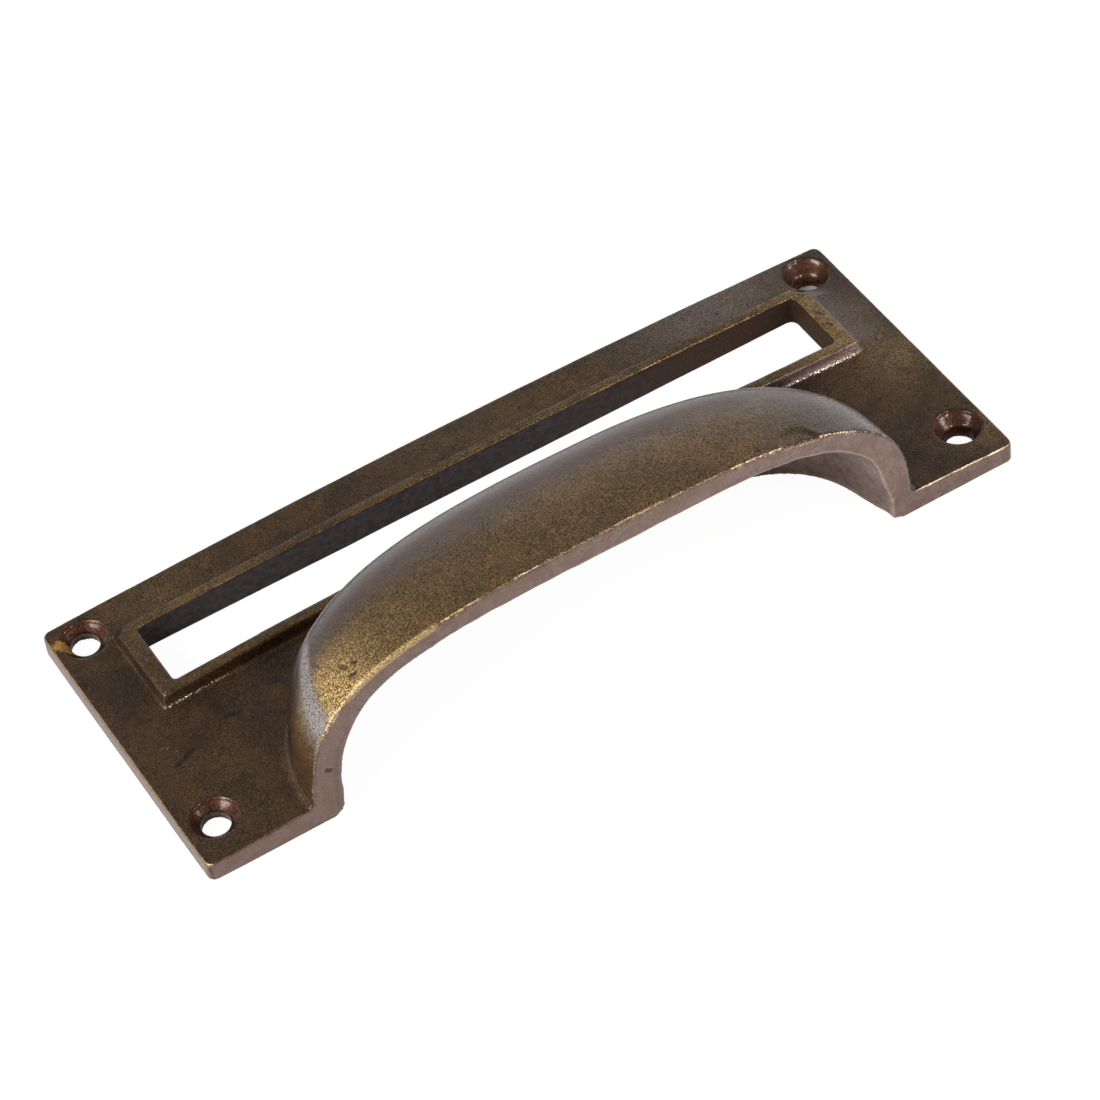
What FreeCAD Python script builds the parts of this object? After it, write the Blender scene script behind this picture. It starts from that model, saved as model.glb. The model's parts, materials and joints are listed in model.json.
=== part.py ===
import FreeCAD
import Part
import math
import os

# Label frame pull for a drawer, cast in one piece. A plate with a gently
# crowned face carries a raised frame round a through window for the label, and
# below it a cup that is open at the back and along the plate's lower edge, so
# that four fingers reach in from below.
#
# All sizes are in millimetres. The flat back lies in z = 0, against the drawer
# front. The plate is centred on the origin, +X runs along it, +Y points to the
# label frame and +Z out of the drawer.

Vector = FreeCAD.Vector

# Cup, measured over its outside at the back plane and the lip
cup_length = 96.6
cup_depth = 26.2
cup_height = 27.35
cup_offset_x = -0.5
wall_side = 3.9
wall_back = 4.5
wall_top = 3.75

# Fullness of the cup's curves: 2 is an ellipse, larger is squarer. The outside
# gets fuller from the back plane up to the lip
outer_power_x_back = 2.55
outer_power_x_lip = 2.95
outer_power_y_back = 2.6
outer_power_y_lip = 3.55
outer_power_z = 3.95
cavity_power_x = 4.4
cavity_power_y = 3.0
cavity_power_z = 3.3

# The cup's form runs on past the lip and the back plane by this much, so that
# its walls still lean in a little where they are cut off
cup_overrun = 3.0

# Label frame, measured over its flat top
frame_width = 14.4
frame_rise = 2.0
frame_foot_spread = 0.45
frame_long_bar = 1.8
frame_side_bar = 2.4
frame_end_land = 8.25
frame_offset_x = 0.45
frame_corner_radius = 0.4

# Window inside the label frame, which opens out towards the back
window_flare_y = 1.1
window_flare_x = 0.5
window_front_radius = 0.4
window_back_radius = 1.3

# Plate
upper_land = 7.6
middle_land = 2.1
end_land = 16.7
edge_thickness = 3.2
face_crown = 1.6
corner_radius = 1.2

# Countersunk screw holes
screw_hole = 4.2
countersink_mouth = 7.3
countersink_angle = 90.0
hole_to_end = 4.6
hole_to_upper_edge = 4.65
hole_to_lower_edge = 6.85

# Fillets in the corners, and edges broken with a file
cup_fillet = 1.2
frame_fillet = 0.5
border_break = 0.3
frame_break = 0.2

# How finely the cup's curves are divided, how far a cutting form reaches past
# the metal, and how close a point lies to a surface that it is said to be on
arch_steps = 8
outer_swings = 9
cavity_swings = 11
clear = 1.0
touch = 0.01
curve_precision = 1e-9

# Sizes that follow
plate_length = cup_length + 2 * end_land
plate_width = cup_depth + middle_land + frame_width + upper_land
half_length = plate_length / 2
half_width = plate_width / 2
crown_radius = (half_length ** 2 + face_crown ** 2) / (2 * face_crown)
frame_length = plate_length - 2 * frame_end_land
frame_centre_y = half_width - upper_land - frame_width / 2
frame_top_z = edge_thickness + face_crown + frame_rise


def arc_height(x):
    """How far the crowned face rises at x above the thickness at the ends."""
    return face_crown - crown_radius + math.sqrt(crown_radius ** 2 - x ** 2)


def height_above_face(point):
    return point.z - edge_thickness - arc_height(point.x)


def crowned_slab(thickness, margin):
    """A slab with a flat back and a face that is an arc along the plate."""
    end = half_length + margin
    y = -half_width - margin
    left_foot = Vector(-end, y, 0)
    right_foot = Vector(end, y, 0)
    left = Vector(-end, y, thickness + arc_height(end))
    right = Vector(end, y, thickness + arc_height(end))
    middle = Vector(0, y, thickness + face_crown)
    outline = Part.Wire([
        Part.makeLine(left_foot, left),
        Part.Arc(left, middle, right).toBSpline().toShape(),
        Part.makeLine(right, right_foot),
        Part.makeLine(right_foot, left_foot),
    ])
    return Part.Face(outline).extrude(Vector(0, plate_width + 2 * margin, 0))


def rounded_rectangle(length, width, radius, centre):
    """A closed wire of four quarter arcs, counter-clockwise, and four lines."""
    arcs = []
    for start_angle in (0, 90, 180, 270):
        diagonal = math.radians(start_angle + 45)
        corner_x = math.copysign(length / 2 - radius, math.cos(diagonal))
        corner_y = math.copysign(width / 2 - radius, math.sin(diagonal))
        circle = Part.Circle(centre + Vector(corner_x, corner_y, 0), Vector(0, 0, 1), radius)
        start = math.radians(start_angle)
        arcs.append(Part.Arc(circle, start, start + math.pi / 2).toShape())
    edges = []
    for arc, following in zip(arcs, arcs[1:] + arcs[:1]):
        edges.append(arc)
        edges.append(Part.makeLine(arc.Vertexes[-1].Point, following.Vertexes[0].Point))
    return Part.Wire(edges)


def plate():
    outline = rounded_rectangle(plate_length, plate_width, corner_radius, Vector(0, 0, 0))
    prism = Part.Face(outline).extrude(Vector(0, 0, edge_thickness + face_crown + clear))
    return prism.common(crowned_slab(edge_thickness, clear))


def frame_block():
    """The frame's outside, drafted, with a top that follows the plate's crown."""
    outlines = []
    for z in (edge_thickness / 2, frame_top_z + clear):
        grow = 2 * frame_foot_spread * (frame_top_z - z) / frame_rise
        outlines.append(rounded_rectangle(
            frame_length + grow, frame_width + grow, frame_corner_radius,
            Vector(frame_offset_x, frame_centre_y, z),
        ))
    block = Part.makeLoft(outlines, True, True)
    return block.common(crowned_slab(edge_thickness + frame_rise, clear))


def window_core():
    """The through window, straight above the frame's top and flared below it."""
    outlines = []
    for z in (frame_top_z, -frame_top_z):
        share = (frame_top_z - z) / frame_top_z
        outlines.append(rounded_rectangle(
            frame_length - 2 * frame_side_bar + 2 * window_flare_x * share,
            frame_width - 2 * frame_long_bar + 2 * window_flare_y * share,
            window_front_radius + (window_back_radius - window_front_radius) * share,
            Vector(frame_offset_x, frame_centre_y, z),
        ))
    flared = Part.makeLoft(outlines, True, True)
    straight = Part.Face(outlines[0]).extrude(Vector(0, 0, clear))
    return flared.fuse(straight).removeSplitter()


def outer_powers(angle):
    share = math.sin(angle) ** 2
    power_x = outer_power_x_back + (outer_power_x_lip - outer_power_x_back) * share
    power_y = outer_power_y_back + (outer_power_y_lip - outer_power_y_back) * share
    return power_x, power_y, outer_power_z


def cavity_powers(angle):
    return cavity_power_x, cavity_power_y, cavity_power_z


def swing_radius(x, angle, half, depth, height, powers):
    """Distance from the swing axis to |x/half|^px + (y/depth)^py + (z/height)^pz = 1."""
    power_x, power_y, power_z = powers
    room = 1 - abs(x / half) ** power_x
    low = 0.0
    high = depth + height
    while high - low > curve_precision:
        radius = (low + high) / 2
        filled = (radius * math.cos(angle) / depth) ** power_y
        filled += (radius * math.sin(angle) / height) ** power_z
        if filled < room:
            low = radius
        else:
            high = radius
    return low


def swung_arch(angle, half, depth, height, powers):
    """A closed arch from end to end, in a plane swung up from the back by an angle."""
    power_x, power_y, power_z = powers
    used = (cup_overrun * math.cos(angle) / depth) ** power_y
    used += (cup_overrun * math.sin(angle) / height) ** power_z
    tip = half * (1 - used) ** (1 / power_x)
    axis = Vector(cup_offset_x, -half_width - cup_overrun, -cup_overrun)
    outward = Vector(0, math.cos(angle), math.sin(angle))
    points = []
    shares = []
    for i in range(-arch_steps, arch_steps + 1):
        x = tip * math.sin(math.pi / 2 * i / arch_steps)
        radius = swing_radius(x, angle, half, depth, height, powers)
        points.append(axis + Vector(x, 0, 0) + outward * radius)
        shares.append((i / arch_steps + 1) / 2)
    curve = Part.BSplineCurve()
    curve.interpolate(Points=points, Parameters=shares)
    return Part.Wire([curve.toShape(), Part.makeLine(points[-1], points[0])])


def cup_form(length, depth, height, powers_at, swings, ruled):
    """Arches swung from the back plane up to the lip, about a line just outside both."""
    arches = []
    for i in range(swings + 1):
        angle = math.pi / 2 * i / swings
        arches.append(swung_arch(
            angle, length / 2, depth + cup_overrun, height + cup_overrun, powers_at(angle),
        ))
    return Part.makeLoft(arches, True, ruled)


def cup_block():
    """The cup's outside, cut off flush, with its skin divided at both shoulders."""
    form = cup_form(cup_length, cup_depth, cup_height, outer_powers, outer_swings, False)
    shoulder = cup_length / 2 - cup_depth / 2
    bounds = [-half_length, cup_offset_x - shoulder, cup_offset_x + shoulder, half_length]
    block = None
    for left, right in zip(bounds, bounds[1:]):
        room = Part.makeBox(
            right - left, plate_width, cup_height + clear, Vector(left, -half_width, 0),
        )
        part = form.common(room)
        block = block.fuse(part) if block else part
    return block


def cup_cavity():
    """The finger space, whose skin is pared in flats that run from end to end."""
    return cup_form(
        cup_length - 2 * wall_side, cup_depth - wall_back, cup_height - wall_top,
        cavity_powers, cavity_swings, True,
    )


def screw_hole_core(x, y):
    """Bore and countersink, turned in one; the mouth lies on the face at the hole's centre."""
    face_z = edge_thickness + arc_height(x)
    slope = math.tan(math.radians(countersink_angle / 2))
    bore_radius = screw_hole / 2
    mouth_radius = countersink_mouth / 2
    above = frame_rise + clear
    profile = Part.makePolygon([
        Vector(0, 0, -clear),
        Vector(bore_radius, 0, -clear),
        Vector(bore_radius, 0, face_z - (mouth_radius - bore_radius) / slope),
        Vector(mouth_radius + above * slope, 0, face_z + above),
        Vector(0, 0, face_z + above),
        Vector(0, 0, -clear),
    ])
    core = Part.Face(profile).revolve(Vector(0, 0, 0), Vector(0, 0, 1), 360)
    core.translate(Vector(x, y, 0))
    return core


def screw_hole_cores():
    cores = []
    for x in (-half_length + hole_to_end, half_length - hole_to_end):
        for y in (-half_width + hole_to_lower_edge, half_width - hole_to_upper_edge):
            cores.append(screw_hole_core(x, y))
    return cores


def middle_of(edge):
    return edge.valueAt((edge.FirstParameter + edge.LastParameter) / 2)


def edges_on(body, form):
    """The body's edges that lie on the skin of another form."""
    skin = Part.Compound(form.Faces)
    found = []
    for edge in body.Edges:
        if skin.distToShape(Part.Vertex(middle_of(edge)))[0] < touch:
            found.append(edge)
    return found


def root_edges(body, form):
    """The edges where a form stands on the plate's face."""
    return [e for e in edges_on(body, form) if abs(height_above_face(middle_of(e))) < touch]


def frame_top_edges(body, block):
    """The outer and inner edges of the frame's top."""
    found = []
    for edge in edges_on(body, block):
        if abs(height_above_face(middle_of(edge)) - frame_rise) < touch:
            found.append(edge)
    return found


def border_edges(body):
    """The plate's border at its face, and the lip's outer edge, as one chain."""
    found = []
    for edge in body.Edges:
        middle = middle_of(edge)
        past_x = max(0, abs(middle.x) - half_length + corner_radius)
        past_y = max(0, abs(middle.y) - half_width + corner_radius)
        on_outline = abs(math.hypot(past_x, past_y) - corner_radius) < touch
        if on_outline and middle.z > edge_thickness - touch:
            found.append(edge)
    return found


def casting():
    cup = cup_block()
    body = plate().fuse(cup)
    body = body.makeFillet(cup_fillet, root_edges(body, cup))

    block = frame_block()
    body = body.fuse(block)
    body = body.makeFillet(frame_fillet, root_edges(body, block))
    body = body.makeChamfer(border_break, border_edges(body))

    body = body.cut(cup_cavity())
    body = body.cut(window_core())
    body = body.makeChamfer(frame_break, frame_top_edges(body, block))
    for core in screw_hole_cores():
        body = body.cut(core)
    return body


os.makedirs("parts", exist_ok=True)
pull = casting()
print("solids", len(pull.Solids), "faces", len(pull.Faces), "volume", round(pull.Volume, 1))
pull.exportStep("parts/label_frame_pull.step")
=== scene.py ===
import json
import math

import bmesh
import bpy
import numpy as np
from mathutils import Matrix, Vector

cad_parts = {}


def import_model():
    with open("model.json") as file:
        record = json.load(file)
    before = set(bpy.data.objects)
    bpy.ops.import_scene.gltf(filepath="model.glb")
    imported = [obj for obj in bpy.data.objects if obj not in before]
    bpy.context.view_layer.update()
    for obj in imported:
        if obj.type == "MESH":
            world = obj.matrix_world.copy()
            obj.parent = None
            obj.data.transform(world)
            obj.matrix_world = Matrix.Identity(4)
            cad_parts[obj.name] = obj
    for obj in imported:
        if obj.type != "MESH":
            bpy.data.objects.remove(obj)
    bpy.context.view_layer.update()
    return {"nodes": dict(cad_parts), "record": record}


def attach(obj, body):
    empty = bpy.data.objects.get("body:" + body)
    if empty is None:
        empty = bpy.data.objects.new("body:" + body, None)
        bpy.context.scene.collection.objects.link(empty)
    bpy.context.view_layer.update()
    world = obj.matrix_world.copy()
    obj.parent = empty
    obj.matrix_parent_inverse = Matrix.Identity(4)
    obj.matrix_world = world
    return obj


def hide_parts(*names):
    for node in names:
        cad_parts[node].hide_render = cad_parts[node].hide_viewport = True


# The label frame pull: one casting with an aged brown patina. The CAD node gives
# its form; this script gives it the skin of an old sand casting, and its finish.
# Objects are in metres, in the CAD frame: +X along the plate, +Z out of it. The
# sizes and marks below, and the work on the mesh, are in millimetres.

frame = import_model()
NODE = "label_frame_pull"
MM = 0.001

# The photograph's camera, in metres, worked out from the plate's straight edges
CAMERA_PLACE = (-0.1636314, -0.3543499, 0.4255029)
CAMERA_TURN_DEG = (42.2535, 5.5396, -31.2271)
CAMERA_LENS = 134.088

# Area lamps: name, direction, size in metres, radiance
LAMP_DISTANCE = 1.0
LAMPS = [
    ("left_softbox", (-0.80, -0.12, 0.58), 0.6, 9),
    ("right_softbox", (0.73, -0.5, 0.46), 0.3, 9),
    ("front_window", (0.34, -0.73, 0.60), 0.16, 24),
]

# The world is white low down and dim above; in this direction the white rises highest
SWEEP_DIRECTION = (0.42, 0.907, 0.0)
DIM_ABOVE = 0.24

# The floor lies just under the casting's uneven back, and stays dim below one hole
FLOOR_LEVEL = -0.08
FLOOR_HALF = 3000.0
FLOOR_COLOUR = (0.9, 0.9, 0.9)
FLOOR_GLOW = 1.06
FLOOR_GLOW_SHARE = 0.9
SHADED_FLOOR = (61.5, 22.0, FLOOR_LEVEL)
SHADED_RADIUS = 3.5

# Mesh
WELD = 0.002
VOXEL = 0.24
MOST_TRIANGLES = 196000

# How far off its true surface a point is drawn onto it wholly, and from where not at all
FACE_REACH = (0.06, 0.12)
HOLE_REACH = (0.09, 0.16)
CUP_REACH = (0.12, 0.24)
LEFT_ALONE = 9.0

# Which points belong to the crowned faces, to a hole and to the cup's skins
FACE_UPRIGHT = 0.95
HOLE_AREA = 6.0
SKIN_FACING = 0.75
LIP_MARGIN = 0.02

# Main forms, as in the CAD model
HALF_LENGTH = 65.0
HALF_WIDTH = 25.15
EDGE_THICKNESS = 3.2
FACE_CROWN = 1.6
FRAME_RISE = 2.0
CROWN_RADIUS = (HALF_LENGTH ** 2 + FACE_CROWN ** 2) / (2 * FACE_CROWN)
CUP_MIDDLE_X = -0.5
CUP_OVERRUN = 3.0
FRAME_LEFT, FRAME_RIGHT, FRAME_FRONT, FRAME_REAR = -56.3, 57.2, 3.15, 17.55
FRAME_BOX = (FRAME_LEFT, FRAME_RIGHT, FRAME_FRONT, FRAME_REAR)
WINDOW_BACK = (-54.4, 55.3, 3.85, 16.85)
BORE_RADIUS = 2.1
MOUTH_RADIUS = 3.65

# How soft the cast edges are, as a share of the way to the blurred mesh
FRAME_SOFTNESS = 0.75
BORDER_SOFTNESS = 0.6
MOUTH_SOFTNESS = 0.7

# Rounds of blur for the cast edges, the feet's corners, the broad edge and the bends
SOFT_ROUNDS = 3
FOOT_ROUNDS = 34
BROAD_ROUNDS = 22
BEND_ROUNDS = 14

# The cup's left leg and the feet of its lip stand this far to the right of the drawing
LEG_SHIFT = 0.42
FOOT_SHIFT = 0.65
FOOT_CORNER_SHIFT = 0.6
FOOT_TO_LEG = (4.5, 9.0)

# The low fillet beside the frame's right end, and the flat slope before it
FILLET_HEIGHT = 0.65
FILLET_REACH = 2.0
ROOT_SLOPE = 0.7

# Uneven skin, and waves of the filed inner lip: height, size of the lumps, seed
CAST_LUMPS = [(0.035, 9.0, 1), (0.012, 3.0, 2), (0.009, 1.1, 3)]
LIP_WAVES = [(0.11, 2.3, 7), (0.09, 5.5, 8)]

# How far each hole's mouth and its back end stand off the drawn centre: x, y.
# The holes come left front, left rear, right front, right rear.
HOLE_DRIFT = [
    ((0.0, 0.0), (0.30, 0.55)),
    ((0.0, 0.0), (0.30, 0.95)),
    ((0.1, 0.35), (-0.30, -0.45)),
    ((0.1, 0.35), (-0.50, -0.85)),
]

# Pits and dents: x, y, z, radius, depth
PITS = [
    (-39.3, -20.6, 22.0, 0.75, 0.20),
    (-38.8, -22.7, 22.3, 0.60, 0.14),
    (-37.6, -21.4, 23.1, 0.50, 0.10),
    (-46.2, -25.15, 9.8, 0.60, 0.25),
    (-45.6, -25.15, 9.5, 0.45, 0.18),
    (24.2, -24.0, 26.1, 0.60, 0.10),
    (-63.0, -15.0, 3.2, 0.60, 0.12),
    (51.5, 17.2, 6.2, 0.50, 0.10),
    (56.3, 10.4, 5.6, 0.50, 0.10),
]

# A shallow dish in the lip
DISH = (30.4, -25.4, 24.9)
DISH_RADIUS = 3.4
DISH_DEPTH = 0.26

# The lip's outer edge is rubbed broad and golden over this stretch: x, x, y, y
CHAMFER_BOX = (-40.5, -27.5, -26.0, -24.0)
CHAMFER_WIDTH = 0.85
CHAMFER_FADE = 0.35

# How golden each form is, and how that changes along the frame: from x, full at x, amount
GOLD_EVERYWHERE = 0.02
GOLD_ON_CUP = 0.185
GOLD_ON_FRAME = 0.11
GOLD_ALONG_FRAME = [(-42, -52, -0.03), (44, 54, 0.24)]

# Where hands have worn the patina through to gold: x, y, z, radius, amount
WORN_ZONES = [
    (-42.5, -22.5, 19.5, 6.8, 0.52),
    (-34.0, -22.5, 24.0, 8.0, 0.08),
    (61.5, -1.0, 3.3, 6.0, 0.24),
    (63.0, -20.5, 3.3, 4.0, 0.18),
    (20.0, 22.0, 4.2, 16.0, 0.04),
    (-47.0, 21.0, 4.0, 9.0, 0.11),
    (0.0, 21.0, 4.8, 20.0, 0.03),
    (-57.0, -20.5, 3.6, 7.0, 0.06),
]

# Where a painted grey sheen lies on the brown, standing in for the sheen of light on the plate:
# x, y, z, radius, amount
GREY_SHEEN_ZONES = [
    (45.0, 22.6, 4.0, 13.0, 0.52),
    (60.2, 10.5, 3.4, 4.5, 0.30),
    (60.2, 5.0, 3.4, 3.0, 0.26),
    (-2.0, 22.0, 4.8, 14.0, 0.06),
]

# Where the lip and the plate's front edge are rubbed to bright metal: x from, x to
RUBBED = [(-46.0, -20.0), (-15.0, -9.0), (0.8, 9.5), (18.0, 40.0), (48.0, 64.0)]

# Small marks: kind, from, to, reach. Flecks are white specks, partly scratches and flakes of
# bare metal and partly painted highlights; glints are painted glints.
MARKS = [
    ("fleck", (-46.4, -25.15, 14.1), (-43.1, -25.15, 13.8), 0.35),
    ("fleck", (0.2, -25.15, 26.0), (1.2, -25.15, 25.6), 0.35),
    ("fleck", (-47.2, -20.0, 12.0), (-47.3, -20.8, 12.4), 0.45),
    ("fleck", (-47.3, -22.0, 12.2), (-47.4, -22.8, 12.9), 0.45),
    ("fleck", (-47.0, -18.2, 8.5), (-47.5, -20.0, 8.7), 0.35),
    ("fleck", (-7.6, -12.4, 26.2), (-7.2, -13.8, 26.6), 0.35),
    ("fleck", (-7.3, -15.5, 26.9), (-6.7, -16.6, 27.0), 0.35),
    ("fleck", (-4.6, -13.5, 26.8), (-4.2, -14.6, 27.0), 0.35),
    ("fleck", (12.0, -19.8, 27.1), (12.6, -20.4, 27.1), 0.30),
    ("fleck", (-9.0, -18.5, 27.2), (-8.6, -19.2, 27.2), 0.30),
    ("fleck", (-56.3, 2.2, 3.8), (-56.1, 2.2, 3.8), 0.50),
    # painted glints along the foot of the frame and on the plate's face
    ("glint", (-56.0, 2.3, 3.8), (-52.8, 2.4, 3.9), 0.34),
    ("glint", (-52.3, 2.4, 3.9), (-47.0, 2.4, 4.0), 0.36),
    ("glint", (-61.0, -2.6, 3.4), (-58.9, -5.2, 3.5), 0.34),
    ("glint", (-58.0, -6.0, 3.5), (-55.0, -8.8, 3.7), 0.34),
    ("glint", (-53.2, -14.0, 3.8), (-52.0, -14.9, 3.8), 0.42),
    # painted highlight: the white line along the foot of the frame's right end
    ("fleck", (45.5, 2.75, 4.05), (50.0, 2.78, 3.95), 0.85),
    ("fleck", (50.0, 2.80, 3.9), (57.0, 2.90, 3.7), 1.35),
    # painted highlights on the frame's front left corner and down its edge
    ("fleck", (-55.9, 3.5, 5.6), (-55.8, 3.5, 5.5), 0.65),
    ("glint", (-55.9, 3.5, 5.5), (-56.3, 3.1, 3.9), 0.45),
    ("fleck", (-48.9, -24.8, 3.9), (-48.5, -24.2, 4.0), 0.45),
    ("fleck", (-62.3, -1.2, 3.3), (-62.1, -1.5, 3.3), 0.35),
    ("stain", (-60.4, -7.5, 3.4), (-59.2, -6.9, 3.5), 0.55),
    ("stain", (-58.6, -6.8, 3.5), (-57.0, -6.2, 3.6), 0.50),
    ("stain", (-51.0, -4.0, 3.8), (-48.6, -4.4, 3.9), 0.60),
    ("stain", (-39.4, -20.2, 22.0), (-38.9, -21.4, 22.3), 0.6),
    ("stain", (-39.1, -22.7, 22.2), (-38.3, -22.9, 22.5), 0.5),
    ("stain", (-38.0, -21.3, 22.8), (-37.6, -21.6, 23.0), 0.5),
    ("stain", (-46.3, -25.15, 9.9), (-45.8, -25.15, 9.5), 0.7),
    ("stain", (50.0, 16.9, 6.3), (51.0, 17.0, 6.2), 0.6),
    ("stain", (56.1, 11.5, 5.6), (56.3, 10.9, 5.6), 0.6),
    ("stain", (56.0, 8.6, 5.6), (56.3, 7.9, 5.6), 0.5),
    ("ruddy", (24.0, -24.6, 26.0), (24.4, -23.0, 26.2), 0.9),
    ("ruddy", (-54.5, -6.2, 3.7), (-54.0, -6.5, 3.7), 0.7),
    ("ruddy", (60.6, -4.0, 3.4), (61.0, -5.0, 3.3), 1.2),
    ("ruddy", (31.0, -24.4, 25.0), (33.0, -24.2, 24.4), 0.8),
    ("brass", (-63.9, 21.8, 2.6), (-63.0, 20.2, 1.2), 1.7),
]

# Part of a normal over which a face counts as square on to a direction
SQUARE_ON = (0.8, 0.95)

# Heights over which the marks of the plate's upper edge set in
UPPER_EDGE = (2.0, 2.6)


class CupSkin:
    """A smooth skin |x/half|^px + (y/depth)^py + (z/height)^pz = 1, about the swing line."""

    def __init__(self, half, depth, height, power_x, power_y, power_z):
        self.half = half
        self.depth = depth + CUP_OVERRUN
        self.height = height + CUP_OVERRUN
        self.power_x = power_x
        self.power_y = power_y
        self.power_z = power_z

    def offset(self, points):
        """Rough distance from the skin, outward positive, and the outward direction."""
        x = points[:, 0] - CUP_MIDDLE_X
        y = np.maximum(points[:, 1] + HALF_WIDTH + CUP_OVERRUN, 1e-3)
        z = np.maximum(points[:, 2] + CUP_OVERRUN, 1e-3)
        share = z ** 2 / (y ** 2 + z ** 2)
        px = self.power_x[0] + (self.power_x[1] - self.power_x[0]) * share
        py = self.power_y[0] + (self.power_y[1] - self.power_y[0]) * share
        pz = self.power_z
        ax = np.maximum(np.abs(x) / self.half, 1e-6)
        value = ax ** px + (y / self.depth) ** py + (z / self.height) ** pz - 1
        slope = np.stack([
            np.sign(x) * px * ax ** (px - 1) / self.half,
            py * (y / self.depth) ** (py - 1) / self.depth,
            pz * (z / self.height) ** (pz - 1) / self.height,
        ], 1)
        steepness = np.maximum(np.linalg.norm(slope, axis=1), 1e-9)
        return value / steepness, slope / steepness[:, None]


# Half length, depth and height, then the powers: at the back plane and at the lip
# for x and y, and one for z
CUP_OUTSIDE = CupSkin(48.3, 26.2, 27.35, (2.55, 2.95), (2.6, 3.55), 3.95)
CUP_CAVITY = CupSkin(44.4, 21.7, 23.6, (4.4, 4.4), (3.0, 3.0), 3.3)


def camera():
    data = bpy.data.cameras.new("camera")
    data.lens = CAMERA_LENS
    data.sensor_width = 36.0
    data.clip_start = 0.02
    data.clip_end = 20.0
    cam = bpy.data.objects.new("camera", data)
    cam.location = CAMERA_PLACE
    cam.rotation_euler = [math.radians(a) for a in CAMERA_TURN_DEG]
    bpy.context.scene.collection.objects.link(cam)
    bpy.context.scene.camera = cam


def new_object(name, mesh):
    obj = bpy.data.objects.new(name, mesh)
    bpy.context.scene.collection.objects.link(obj)
    return obj


def add_modifier(obj, kind, **settings):
    modifier = obj.modifiers.new(kind.lower(), kind)
    for name, value in settings.items():
        setattr(modifier, name, value)


def apply_modifiers(obj):
    bpy.context.view_layer.update()
    depsgraph = bpy.context.evaluated_depsgraph_get()
    mesh = bpy.data.meshes.new_from_object(obj.evaluated_get(depsgraph))
    old = obj.data
    obj.modifiers.clear()
    obj.data = mesh
    bpy.data.meshes.remove(old)


def points_of(mesh):
    """Vertex places in millimetres."""
    co = np.empty(len(mesh.vertices) * 3, np.float32)
    mesh.vertices.foreach_get("co", co)
    return co.reshape(-1, 3).astype(float) / MM


def normals_of(mesh):
    normals = np.empty(len(mesh.vertices) * 3, np.float32)
    mesh.vertex_normals.foreach_get("vector", normals)
    return normals.reshape(-1, 3).astype(float)


def set_points(mesh, points):
    mesh.vertices.foreach_set("co", (points * MM).astype(np.float32).ravel())
    mesh.update()


def set_mask(mesh, name, values):
    attribute = mesh.attributes.new(name, "FLOAT", "POINT")
    attribute.data.foreach_set("value", values.astype(np.float32))


def step(values, low, high):
    """A smooth step from 0 at low to 1 at high."""
    t = np.clip((values - low) / (high - low), 0, 1)
    return t * t * (3 - 2 * t)


def close_to(distance, full, gone):
    """1 within one distance either way, fading to 0 at another."""
    return step(np.abs(distance), gone, full)


def inside_box(points, box, soft):
    """1 inside a box (x0, x1, y0, y1), fading to 0 outside it."""
    x0, x1, y0, y1 = box
    out_x = np.maximum(x0 - points[:, 0], points[:, 0] - x1)
    out_y = np.maximum(y0 - points[:, 1], points[:, 1] - y1)
    return 1 - step(np.maximum(out_x, out_y), 0, soft)


def line_distance(points, start, end):
    """Distance of each point from a short straight line."""
    along = np.subtract(end, start)
    share = np.clip((points - start) @ along / (along @ along), 0, 1)
    return np.linalg.norm(points - start - share[:, None] * along, axis=1)


def soft_noise(points, size, seed):
    """Smooth noise from -1 to 1 with lumps of about the given size.

    Each corner of a point's cell has its own value, from a hash of its place.
    """
    spots = points / size + seed * 17.31
    cell = np.floor(spots).astype(np.int64)
    part = spots - cell
    part = part * part * (3 - 2 * part)
    total = np.zeros(len(points))
    for corner in range(8):
        bits = np.array([corner & 1, corner >> 1 & 1, corner >> 2 & 1])
        at = cell + bits
        mixed = at[:, 0] * 73856093 ^ at[:, 1] * 19349663 ^ at[:, 2] * 83492791
        mixed = (mixed ^ seed * 2654435761) & 0x7FFFFFFF
        mixed = (mixed * 1103515245 + 12345) & 0x7FFFFFFF
        mixed = (mixed ^ mixed >> 13) * 1274126177 & 0x7FFFFFFF
        value = (mixed >> 8 & 0xFFFF) / 32767.5 - 1
        total += value * np.prod(np.where(bits, part, 1 - part), axis=1)
    return total


def lumps(points, layers):
    """Layers of noise added up, each given as height, size, seed."""
    return sum(height * soft_noise(points, size, seed) for height, size, seed in layers)


class Neighbours:
    """Averages of places over the neighbours of every vertex."""

    def __init__(self, mesh):
        edges = np.empty(len(mesh.edges) * 2, np.int32)
        mesh.edges.foreach_get("vertices", edges)
        self.a, self.b = edges.reshape(-1, 2).T
        self.count = len(mesh.vertices)
        self.links = np.bincount(np.concatenate([self.a, self.b]), minlength=self.count)

    def mean(self, places):
        total = np.empty_like(places)
        for axis in range(3):
            column = places[:, axis]
            both = np.bincount(self.a, column[self.b], self.count)
            both += np.bincount(self.b, column[self.a], self.count)
            total[:, axis] = both / self.links
        return total

    def blurred(self, places, rounds):
        for _ in range(rounds):
            places = 0.5 * places + 0.5 * self.mean(places)
        return places

    def part_blurred(self, places, rounds, share):
        """Moves places towards their blurred ones by a share of the way."""
        return places + (self.blurred(places, rounds) - places) * share[:, None]


def crown_height(x):
    """Height of the crowned face above the back at x."""
    return EDGE_THICKNESS + FACE_CROWN - CROWN_RADIUS + np.sqrt(CROWN_RADIUS ** 2 - x ** 2)


def hole_centres():
    """The centres left front, left rear, right front and right rear."""
    mount = frame["record"]["mounts"][0]
    x0, y0, _ = [c / MM for c in mount["pos_m"]]
    half_x = mount["dims"]["spacing_x_mm"] / 2
    half_y = mount["dims"]["spacing_y_mm"] / 2
    return [(x0 + i * half_x, y0 + j * half_y) for i in (-1, 1) for j in (-1, 1)]


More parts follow.
